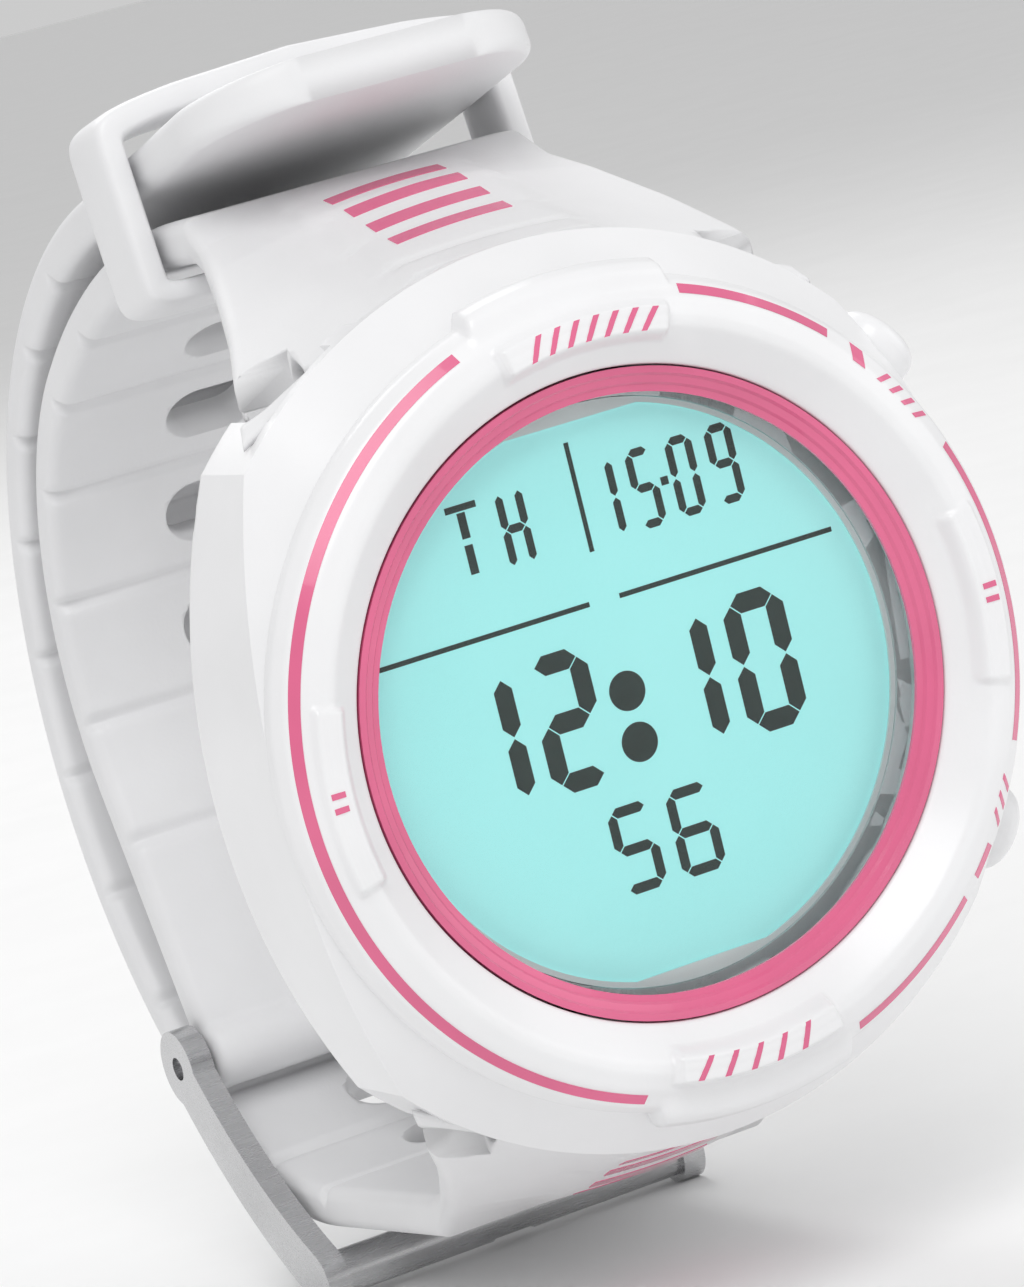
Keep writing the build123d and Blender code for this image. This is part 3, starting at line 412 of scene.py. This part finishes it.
# %% Paint on the bezel
def painted(start, end, inner, outer, slant=0.0):
    """Patch between two clock angles and two radii, 0.03 mm above the bezel, its far edge turned by slant."""
    turns = np.linspace(start, end, max(int(abs(end - start) * 2), 6))
    reach = np.linspace(inner, outer, 5)
    clock, radius = np.meshgrid(turns, reach, indexing="ij")
    clock = clock + slant * (radius - inner) / (outer - inner)
    level = bezel_level(radius, clock) + 0.03
    x, z = radius * np.sin(np.radians(clock)), radius * np.cos(np.radians(clock))
    top = np.stack([x, -level, z], -1).reshape(-1, 3)
    low = top + [0, 0.12, 0]
    rows, columns = clock.shape
    face = grid_faces(rows, columns)
    count = rows * columns
    index = np.arange(count).reshape(rows, columns)
    rim = np.concatenate([index[0], index[1:, -1], index[-1, -2::-1], index[-2:0:-1, 0]])
    wall = np.stack([rim, np.roll(rim, -1), np.roll(rim, -1) + count, rim + count], 1)
    return np.vstack([top, low]), np.vstack([face, face[:, ::-1] + count, wall])


def joined(name, parts):
    """One object from several (points, faces) parts."""
    shift = np.cumsum([0] + [len(points) for points, _ in parts[:-1]])
    points = np.vstack([points for points, _ in parts])
    faces = [face for (_, some), k in zip(parts, shift) for face in (np.asarray(some) + k).tolist()]
    return outward(mesh_object(name, points, faces, smooth=False))


arcs = ((-161.4, -19.5), (17.2, 42.1), (67.2, 112.9), (128.5, 133.7), (137.2, 162.4))
marks = [painted(a, b, 23.55, 24.12) for a, b in arcs]
marks += [painted(47.2, 49.6, 23.2, 24.2, -1.0)]
marks += [painted(c + t - 0.45, c + t + 0.45, 21.75, 22.65) for c in (90, 270) for t in (-1.1, 1.1)]
plates = ((0, np.arange(-10, 10.1, 3.3)), (180, np.arange(-9, 9.1, 4.5)))     # centre, turns of the strokes
strokes = [(c, t) for c, turns_ in plates for t in turns_]
marks += [painted(c + t - 0.5, c + t + 0.5, 21.35, 22.75, 2.2) for c, t in strokes]
marks += [painted(t, t + 0.9, 23.2, 24.1, 1.6) for t in (52, 54.6, 57.2, 59.8, 118, 120.6, 123.2)]
paint = joined("bezel_paint", marks)
paint.data.materials.append(finishes["trim_pink"])
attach(paint, "case")
print("painted marks:", len(marks))

# %% [markdown]
# ## The display's segments
#
# A liquid-crystal display shows figures as seven bars with mitred ends and a hair's gap between them.
# All the bars are one array of six-sided outlines: each is a line from a start to an end, given a width.


# %% Segments
segment_ends = np.array([((0, 1), (1, 1)), ((1, 1), (1, .5)), ((1, .5), (1, 0)), ((0, 0), (1, 0)),
                         ((0, .5), (0, 0)), ((0, 1), (0, .5)), ((0, .5), (1, .5))], float)
lit = {"0": "012345", "1": "12", "2": "01643", "5": "05623", "6": "054326", "9": "650123", "H": "51642"}


def figure(sign, left, right_edge, bottom, top, width):
    """(starts, ends, widths) of a figure's lit bars inside a box, each bar's line half a width inside it."""
    low = np.array([left + width / 2, bottom + width / 2])
    size = np.array([right_edge - left - width, top - bottom - width])
    bars = segment_ends[[int(k) for k in lit[sign]]] if sign != "1" else segment_ends[[1, 2]] * [0, 1]
    bars = low + bars * size
    return bars[:, 0], bars[:, 1], np.full(len(bars), width)


boxes = [("1", -8.96, -7.73, -4.54, 3.77, 1.2), ("2", -6.70, -2.60, -4.60, 3.77, 1.2),
         ("1", 4.42, 5.70, -4.70, 3.77, 1.2), ("0", 6.80, 10.96, -4.80, 3.77, 1.2),
         ("5", -3.80, -0.88, -11.60, -6.27, 0.62), ("6", 0.19, 3.20, -11.70, -6.30, 0.62),
         ("1", 1.55, 2.08, 9.10, 13.95, 0.5), ("5", 2.96, 4.77, 9.10, 13.95, 0.5),
         ("0", 5.70, 7.54, 9.10, 13.95, 0.5), ("9", 8.42, 10.27, 9.10, 13.95, 0.5),
         ("H", -5.90, -4.08, 9.10, 13.90, 0.5)]
starts, ends, widths = (np.concatenate(part) for part in zip(*[figure(*box) for box in boxes]))
gap = 0.06
along = (ends - starts) / np.linalg.norm(ends - starts, axis=1)[:, None]
side = np.stack([-along[:, 1], along[:, 0]], 1)
half = widths[:, None] / 2
a, b = starts + along * gap, ends - along * gap
outlines = np.stack([a, a + (along + side) * half, b + (side - along) * half, b,
                     b - (side + along) * half, a + (along - side) * half], 1)
rules = np.array([(-15.70, -1.55, 5.70, 6.00), (0.50, 15.30, 5.65, 5.95), (-0.69, -0.39, 8.80, 15.45),
                  (4.95, 5.45, 11.33, 11.83), (-9.20, -7.15, 13.40, 13.80), (-8.50, -7.96, 11.75, 13.30),
                  (-8.50, -7.96, 9.60, 11.35)])
turn = np.linspace(0, 2 * np.pi, 48, endpoint=False)
dots = [np.stack([-0.5 + 1.2 * np.cos(turn), z + 1.2 * np.sin(turn)], 1) for z in (0.23, -2.92)]
shapes = [*outlines, *[np.array([(l, d), (r, d), (r, u), (l, u)]) for l, r, d, u in rules], *dots]
panel_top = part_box("lcd_panel")[0].y / MM


def plate(outline, back, front):
    """Closed thin plate of a flat outline between two depths."""
    n = len(outline)
    ends_ = [np.stack([outline[:, 0], np.full(n, y), outline[:, 1]], 1) for y in (back, front)]
    k = np.arange(n)
    walls = np.stack([k, (k + 1) % n, (k + 1) % n + n, k + n], 1).tolist()
    return np.vstack(ends_), [k[::-1].tolist(), (k + n).tolist(), *walls]


def joined_plates(name, plates):
    """One object from plates whose faces have different numbers of corners."""
    shift = np.cumsum([0] + [len(points) for points, _ in plates[:-1]])
    points = np.vstack([points for points, _ in plates])
    faces = [[corner + int(k) for corner in face] for (_, some), k in zip(plates, shift) for face in some]
    return outward(mesh_object(name, points, faces, smooth=False))


segments = joined_plates("display_segments", [plate(s, panel_top - 0.005, panel_top - 0.03) for s in shapes])
segments.data.materials.append(ink)
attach(segments, "case")
print("bars, rules and dots:", len(shapes))

# %% [markdown]
# ## The strap
#
# Each half of the strap is one moulded piece: a wide end that wraps the case, narrowing to a plain band.
# It is a section carried along a line in the side view.  The line bends by arcs, so its direction is the
# running sum of its curvature, and the section is two curves, one outside and one against the wrist.


# %% Lines of the two bands
def centre_line(start, heading, pieces, step=0.05):
    """Points and directions along a line made of (length, curvature) pieces, by summing the curvature."""
    lengths, curves = np.array(pieces).T
    s = np.linspace(0, lengths.sum(), int(lengths.sum() / step))
    step = s[1]
    bend = np.interp(s, np.concatenate([[0], np.cumsum(lengths)]),
                     np.concatenate([[0], np.cumsum(lengths * curves)]))
    angle = np.radians(heading) + bend
    middle = (angle[1:] + angle[:-1]) / 2
    y = start[0] + np.concatenate([[0], np.cumsum(np.cos(middle) * step)])
    z = start[1] + np.concatenate([[0], np.cumsum(np.sin(middle) * step)])
    return s, y, z, angle


def arc(radius, degrees):
    """(length, curvature) of an arc; a negative turn bends clockwise."""
    return abs(radius * np.radians(degrees)), np.sign(degrees) / radius


band_start, band_height = 10.0, 31.3
short_line = centre_line((band_start, band_height), 1.5, [arc(50, -35.5), arc(24.6, -74.3), (19.3, 0)])
long_line = centre_line((band_start, -band_height), -4.2,
                        [(18.5, 0), arc(22.7, 48.3), arc(34.3, 89.4), arc(40, 32.6), (26.3, 0)])
short_total, long_total = short_line[0][-1], long_line[0][-1]
pin = np.array(joints["buckle_frame_swing"]["pos_m"]) / MM
miss = np.hypot(np.interp(short_total, short_line[0], short_line[1]) - pin[1],
                np.interp(short_total, short_line[0], short_line[2]) - pin[2])
print("short band ends", round(float(miss), 3), "mm from the buckle's pin")

# %% Sections along a half of the strap
flare = np.array([(-7.4, 19.4, 20.4, 27.5), (-4.0, 17.6, 24.2, 28.3), (-1.0, 16.0, 26.4, 29.2),
                  (0.0, 15.6, 27.0, 29.5), (5.0, 13.6, 29.6, 31.5), (9.0, 12.3, 31.2, 32.5)])


ray_start, first_depth, thinnest = 8.0, -7.4, 0.4       # mm


def cad_inner_face(node, x, y, end):
    """Height z of the model's inner surface, met first by rays that leave the wrist's side outwards, for
    whole arrays of x and y.  Where nothing is met the answer is not a number."""
    mesh, placed = frame["nodes"][node].data, frame["nodes"][node].matrix_world
    corners = [placed @ v.co for v in mesh.vertices]
    tree = BVHTree.FromPolygons(corners, [face.vertices[:] for face in mesh.polygons])
    ray = Vector((0, 0, end))
    starts_ = np.stack([x.ravel(), y.ravel(), np.full(x.size, end * ray_start)], 1) * MM
    hits = [tree.ray_cast(Vector(start), ray)[0] for start in starts_]
    return np.array([np.nan if hit is None else end * hit.z / MM for hit in hits]).reshape(x.shape)


def strap_half(name, line, total, end, grooves, knuckle):
    """Closed surface of rows along the strap: outside curve from edge to edge, then the wrist's side back.
    Rows run through the flared end by its depth y, and then along the band's centre line."""
    count = 61
    across = np.sin(np.linspace(-np.pi / 2, np.pi / 2, count))
    depth = np.linspace(first_depth, 8.6, 56)
    half, edge, crown = (np.interp(depth, flare[:, 0], flare[:, k])[:, None] for k in (1, 2, 3))
    x = (half - 0.05) * across
    crease = 6.3
    centre = crown - 0.35 * (x / crease) ** 2
    wing = crown - 0.6 - (crown - 0.6 - edge) * (np.abs(x) - crease) / (half - crease)
    outer = np.where(np.abs(x) < crease, centre, wing)
    nose = 0.25 * np.exp(-((depth[:, None] + 4.6) / 0.3) ** 2) * (np.abs(x) < crease)
    outer = outer - nose
    deep = np.broadcast_to(depth[:, None], x.shape)
    node = name.replace("_skin", "")
    inner = cad_inner_face(node, x, np.clip(deep, first_depth + 0.05, None), end)
    inner = np.where(np.isnan(inner), outer - thinnest, inner)
    inner = np.minimum(inner, outer - thinnest)
    corner = np.minimum(1.0, (outer - inner) * 0.48)
    over = np.clip((np.abs(x) - (half - corner)) / corner, 0, 1)
    fall = corner * (1 - np.sqrt(1 - over ** 2))
    flare_outer = np.stack([x, deep, end * (outer - fall)], -1)
    flare_inner = np.stack([x, deep, end * (inner + fall)], -1)

    s = np.arange(1.2, total + (2.3 if knuckle else 0.0), 0.28)
    y, z, angle = (np.interp(s, line[0], part) for part in line[1:])
    beyond = np.clip(s - total, 0, None)
    y, z = y + beyond * np.cos(angle), z + beyond * np.sin(angle)
    wide = np.full(len(s), 12.0)
    left_over = np.clip(7.0 - (total - s), 0, 6.999)
    if not knuckle:
        wide = 5.0 + np.sqrt(49 - left_over ** 2)
    thick = np.full(len(s), 1.4)
    if knuckle:
        round_end = np.sqrt(np.clip(2.3 ** 2 - (s - total) ** 2, 0, None))
        thick = np.maximum(np.where(s < total, 1.4, 0), round_end)
    wide, thick, run = wide[:, None], thick[:, None], s[:, None]
    x = wide * across
    corner = np.minimum(0.9, thick * 0.65)
    over = np.clip((np.abs(x) - (wide - corner)) / np.maximum(corner, 1e-6), 0, 1)
    fall = corner * (1 - np.sqrt(1 - over ** 2))
    cut = np.exp(-((run - grooves[None, :]) / 0.42) ** 2).sum(1)[:, None]
    notch = 0.42 * cut * (1 + 0.6 * smoothstep(9.5, 12, np.abs(x)))
    rim = 0
    if not knuckle:
        near = np.minimum(wide - np.abs(x), total - run)
        rim = 0.3 * np.exp(-((near - 2.2) / 0.35) ** 2) * smoothstep(total - 26, total - 24, run)
    normal_y, normal_z = -np.sin(angle)[:, None] * end, np.cos(angle)[:, None] * end
    rise, sink = thick - fall - rim, thick - fall - notch * (thick > 1.3)
    band_outer = np.stack([x, y[:, None] + normal_y * rise, z[:, None] + normal_z * rise], -1)
    band_inner = np.stack([x, y[:, None] - normal_y * sink, z[:, None] - normal_z * sink], -1)

    top = np.concatenate([flare_outer, band_outer])
    bottom = np.concatenate([flare_inner, band_inner])[:, ::-1]
    rows = len(top)
    loop = np.concatenate([top, bottom], 1)
    faces = grid_faces(rows, 2 * count, False, True).tolist()
    k = np.arange(count - 1)
    cap = np.stack([k, k + 1, 2 * count - 2 - k, 2 * count - 1 - k], 1)
    faces += cap.tolist() + (cap[:, ::-1] + (rows - 1) * 2 * count).tolist()
    return outward(mesh_object(name, loop.reshape(-1, 3), faces), 1e-6)


def stadium_prism(centre, first, second, third, length, width, depth):
    """Closed rounded bar: an oval outline in two directions, carried along a third both ways."""
    turn = np.linspace(0, 2 * np.pi, 40, endpoint=False)
    flat = (length - width) / 2
    u = width / 2 * np.cos(turn) + flat * np.sign(np.cos(turn))
    v = width / 2 * np.sin(turn)
    ring_ = centre + u[:, None] * first + v[:, None] * second
    n = len(turn)
    k = np.arange(n)
    walls = np.stack([k, (k + 1) % n, (k + 1) % n + n, k + n], 1).tolist()
    both = np.vstack([ring_ - depth * third, ring_ + depth * third])
    return both, [k[::-1].tolist(), (k + n).tolist(), *walls]


def carved(thing, cutters):
    """Cuts closed shapes out of a piece and keeps the result as its mesh.  The shapes of one call must not
    cross each other, because a cutter that crosses itself can leave nothing, so the size is compared."""
    reach = np.array(thing.bound_box).max(0) - np.array(thing.bound_box).min(0)
    tool = joined_plates(thing.name + "_cutter", cutters)
    modifier = thing.modifiers.new("holes", "BOOLEAN")
    modifier.operation, modifier.solver, modifier.object = "DIFFERENCE", "EXACT", tool
    graph = bpy.context.evaluated_depsgraph_get()
    mesh = bpy.data.meshes.new_from_object(thing.evaluated_get(graph))
    thing.modifiers.clear()
    thing.data = mesh
    bpy.data.objects.remove(tool)
    thing.data.shade_smooth()
    corners = np.array([v.co for v in mesh.vertices])
    kept = (corners.max(0) - corners.min(0)) / reach
    if kept.min() < 0.95:
        raise ValueError(thing.name + " lost part of itself in a cut")
    return thing


X, Y, Z = np.eye(3)


def slots_through(line, places):
    """The adjusting slots: ovals across the band, cut square to it.  A many-sided outline lies inside its
    oval, so it is made a little larger to leave the tongue the room it has in the model."""
    found = []
    for s in places:
        y, z, angle = (float(np.interp(s, line[0], part)) for part in line[1:])
        travel = np.array([0, np.cos(angle), np.sin(angle)])
        found.append(stadium_prism(np.array([0, y, z]), X, travel, np.cross(X, travel), 7.1, 4.3, 3.0))
    return found


def eyelets(end):
    """The oval eyes in the flared end, a little wider than the model's so that no two walls coincide."""
    centres = [np.array([side_ * 18.3, -5.5, end * 23.0]) for side_ in (-1, 1)]
    return [stadium_prism(centre, Z, Y, X, 4.12, 2.52, 4.3) for centre in centres]


def bore(y, z, radius_, reach):
    """Round hole along the strap's width."""
    return stadium_prism(np.array([0, y, z]), Z, Y, X, 2 * radius_, 2 * radius_ - 1e-3, reach)


bar_nodes = ((1, "spring_bar_top"), (-1, "spring_bar_bottom"))
bars = {end: [np.array(c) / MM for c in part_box(node)] for end, node in bar_nodes}
bar_bores = {end: [bore((lo[1] + hi[1]) / 2, (lo[2] + hi[2]) / 2, (hi[2] - lo[2]) / 2 + 0.05, 14.6)]
             for end, (lo, hi) in bars.items()}
pin_low, pin_high = (np.array(c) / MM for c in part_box("buckle_pin"))
pin_bore = [bore(pin[1], pin[2], (pin_high[1] - pin_low[1]) / 2 + 0.05, 14.0)]
pitch = 8.7
short_grooves = 14.6 + pitch * np.arange(7)
long_grooves = 23.0 + pitch * (np.arange(11) - 0.5)
strap_top = strap_half("strap_top_skin", short_line, short_total, 1, short_grooves, True)
signs = [(sx, sy, sz) for sx in (-1, 1) for sy in (-1, 1) for sz in (-1, 1)]
fork = [(np.array([(sx * 1.6, pin[1] + sy * 3.6, pin[2] + sz * 3.6) for sx, sy, sz in signs]),
         [[0, 1, 3, 2], [4, 6, 7, 5], [0, 4, 5, 1], [2, 3, 7, 6], [0, 2, 6, 4], [1, 5, 7, 3]])]
carved(strap_top, slots_through(short_line, 27.65 + pitch * np.arange(5)) + bar_bores[1] + fork)
carved(strap_top, eyelets(1))
carved(strap_top, pin_bore)
strap_bottom = strap_half("strap_bottom_skin", long_line, long_total, -1, long_grooves, False)
carved(strap_bottom, slots_through(long_line, 23.0 + pitch * np.arange(10)) + bar_bores[-1])
carved(strap_bottom, eyelets(-1))
for skin, node in ((strap_top, "strap_top"), (strap_bottom, "strap_bottom")):
    skin.data.materials.clear()
    skin.data.materials.append(finishes["strap_rubber"])
    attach(skin, "case")
    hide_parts(node)
    print(node, len(skin.data.polygons), "faces")

# %% [markdown]
# ## Marks on the strap
#
# The real strap has pink marks sunk into the raised middle of its wide end.  Here they are slanted bars
# that say nothing, lying on that surface.


# %% Strap marks
def strap_marks(name, end):
    """Slanted bars across the raised middle of the flared end, 0.05 mm proud of it."""
    made = []
    for k in range(4):
        y0 = -1.5 + 2.6 * k
        u, v = np.meshgrid(np.linspace(-4.2, 4.2, 15), np.linspace(0, 1.2, 4), indexing="ij")
        depth = y0 + v + 0.10 * u
        crown = np.interp(depth, flare[:, 0], flare[:, 3])
        top = np.stack([u, depth, end * (crown - 0.35 * (u / 6.3) ** 2 + 0.05)], -1).reshape(-1, 3)
        low = top - [0, 0, end * 0.2]
        face = grid_faces(*u.shape)
        index = np.arange(u.size).reshape(u.shape)
        rim = np.concatenate([index[0], index[1:, -1], index[-1, -2::-1], index[-2:0:-1, 0]])
        wall = np.stack([rim, np.roll(rim, -1), np.roll(rim, -1) + u.size, rim + u.size], 1)
        made.append((np.vstack([top, low]), np.vstack([face, face[:, ::-1] + u.size, wall])))
    thing = joined(name, made)
    thing.data.materials.append(finishes["trim_pink"])
    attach(thing, "case")


strap_marks("strap_marks_top", 1)
strap_marks("strap_marks_bottom", -1)

# %% [markdown]
# ## The keeper
#
# The keeper is a loop of rubber with a flat inside and softly rounded outer edges.  A rounded section
# carried round a rounded rectangle gives that, with the loop's plane square to the way it slides.


# %% Keeper
def rounded_loop(half, low, high, corner, arch, count):
    """Rounded rectangle by its superellipse angle, with its top bowed up by arch."""
    t = np.linspace(0, 2 * np.pi, count, endpoint=False)
    power = 2 / (2 + 1.6 * (half + high - low) / (2 * corner))
    u = half * np.sign(np.cos(t)) * np.abs(np.cos(t)) ** power
    v = np.sign(np.sin(t)) * np.abs(np.sin(t)) ** power
    v = (high + low) / 2 + v * (high - low) / 2
    return u, v + arch * np.clip(1 - (u / half) ** 2, 0, 1) * smoothstep((high + low) / 2, high, v)


slide = np.array(joints["keeper_slide"]["axis"])
low_corner, high_corner = (np.array(corner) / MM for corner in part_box("keeper"))
vertical = np.cross(slide, X)
vertical = vertical / np.linalg.norm(vertical) * np.sign(np.cross(slide, X)[2])
cad_points = np.array([v.co for v in frame["nodes"]["keeper"].data.vertices]) / MM
heights, depths = cad_points @ vertical, cad_points @ slide
middle = (depths.min() + depths.max()) / 2
outer_loop = rounded_loop(cad_points[:, 0].max(), heights.min(), heights.max() - 1.2, 2.0, 1.2, 240)
wall, base = 1.8, 1.6
inner_loop = rounded_loop(cad_points[:, 0].max() - wall, heights.min() + base, heights.max() - 3.0, 0.6, 1.2,
                          240)
section = np.linspace(0, 2 * np.pi, 32, endpoint=False)
share = 0.5 + 0.5 * np.sign(np.cos(section)) * np.abs(np.cos(section)) ** 0.45
width = (depths.max() - depths.min()) / 2 * np.sign(np.sin(section)) * np.abs(np.sin(section)) ** 0.35
u, v = (np.outer(i, 1 - share) + np.outer(o, share) for i, o in zip(inner_loop, outer_loop))
points = u[..., None] * X + v[..., None] * vertical + (middle + width)[None, :, None] * slide
keeper = outward(mesh_object("keeper_skin", points.reshape(-1, 3), grid_faces(240, 32, True, True)))
keeper.data.materials.append(finishes["keeper_rubber"])
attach(keeper, "keeper")
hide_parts("keeper")
print("keeper", np.round(low_corner, 1), np.round(high_corner, 1))

# %% [markdown]
# ## Floor and light
#
# A pale floor under the lowest point, a large soft light over the wearer's left shoulder and a weaker
# one at the right keep the white object readable against white.

# %% Floor, lights and world
floor_z = cad_low.z / MM
floor = mesh_object("floor", np.array([(-4000, -4000, floor_z), (4000, -4000, floor_z), (4000, 4000, floor_z),
                                       (-4000, 4000, floor_z)], float), [(0, 1, 2, 3)], smooth=False)
floor.data.materials.append(moulded("floor_finish", (0.90, 0.90, 0.90), 0.7, 400, 1e-5, 0.01))


def soft_light(name, place_, aim, size, power):
    """Square area light in metres that faces a point."""
    data = bpy.data.lights.new(name, "AREA")
    data.size, data.energy = size, power
    light = bpy.data.objects.new(name, data)
    bpy.context.scene.collection.objects.link(light)
    back = np.array(place_) - np.array(aim)
    back = back / np.linalg.norm(back)
    side_ = np.cross([0, 0, 1], back)
    side_ = side_ / np.linalg.norm(side_)
    turn_ = np.eye(4)
    turn_[:3, 0], turn_[:3, 1], turn_[:3, 2], turn_[:3, 3] = side_, np.cross(back, side_), back, place_
    light.matrix_world = Matrix(turn_.tolist())


middle_point = (0.0, 0.015, 0.0)
soft_light("key", (-0.25, -0.45, 0.60), middle_point, 0.5, 2.6)
soft_light("fill", (0.60, -0.35, 0.20), middle_point, 0.6, 0.9)
soft_light("rim", (0.05, 0.50, 0.45), middle_point, 0.4, 1.2)
world = bpy.data.worlds.new("studio")
world.use_nodes = True
world.node_tree.nodes["Background"].inputs[0].default_value = (1, 1, 1, 1)
world.node_tree.nodes["Background"].inputs[1].default_value = 0.60
bpy.context.scene.world = world
bpy.context.scene.view_settings.view_transform = "Standard"

# %% Sizes, and the end
print("cad", [round(v / MM, 2) for v in (*cad_low, *cad_high)])
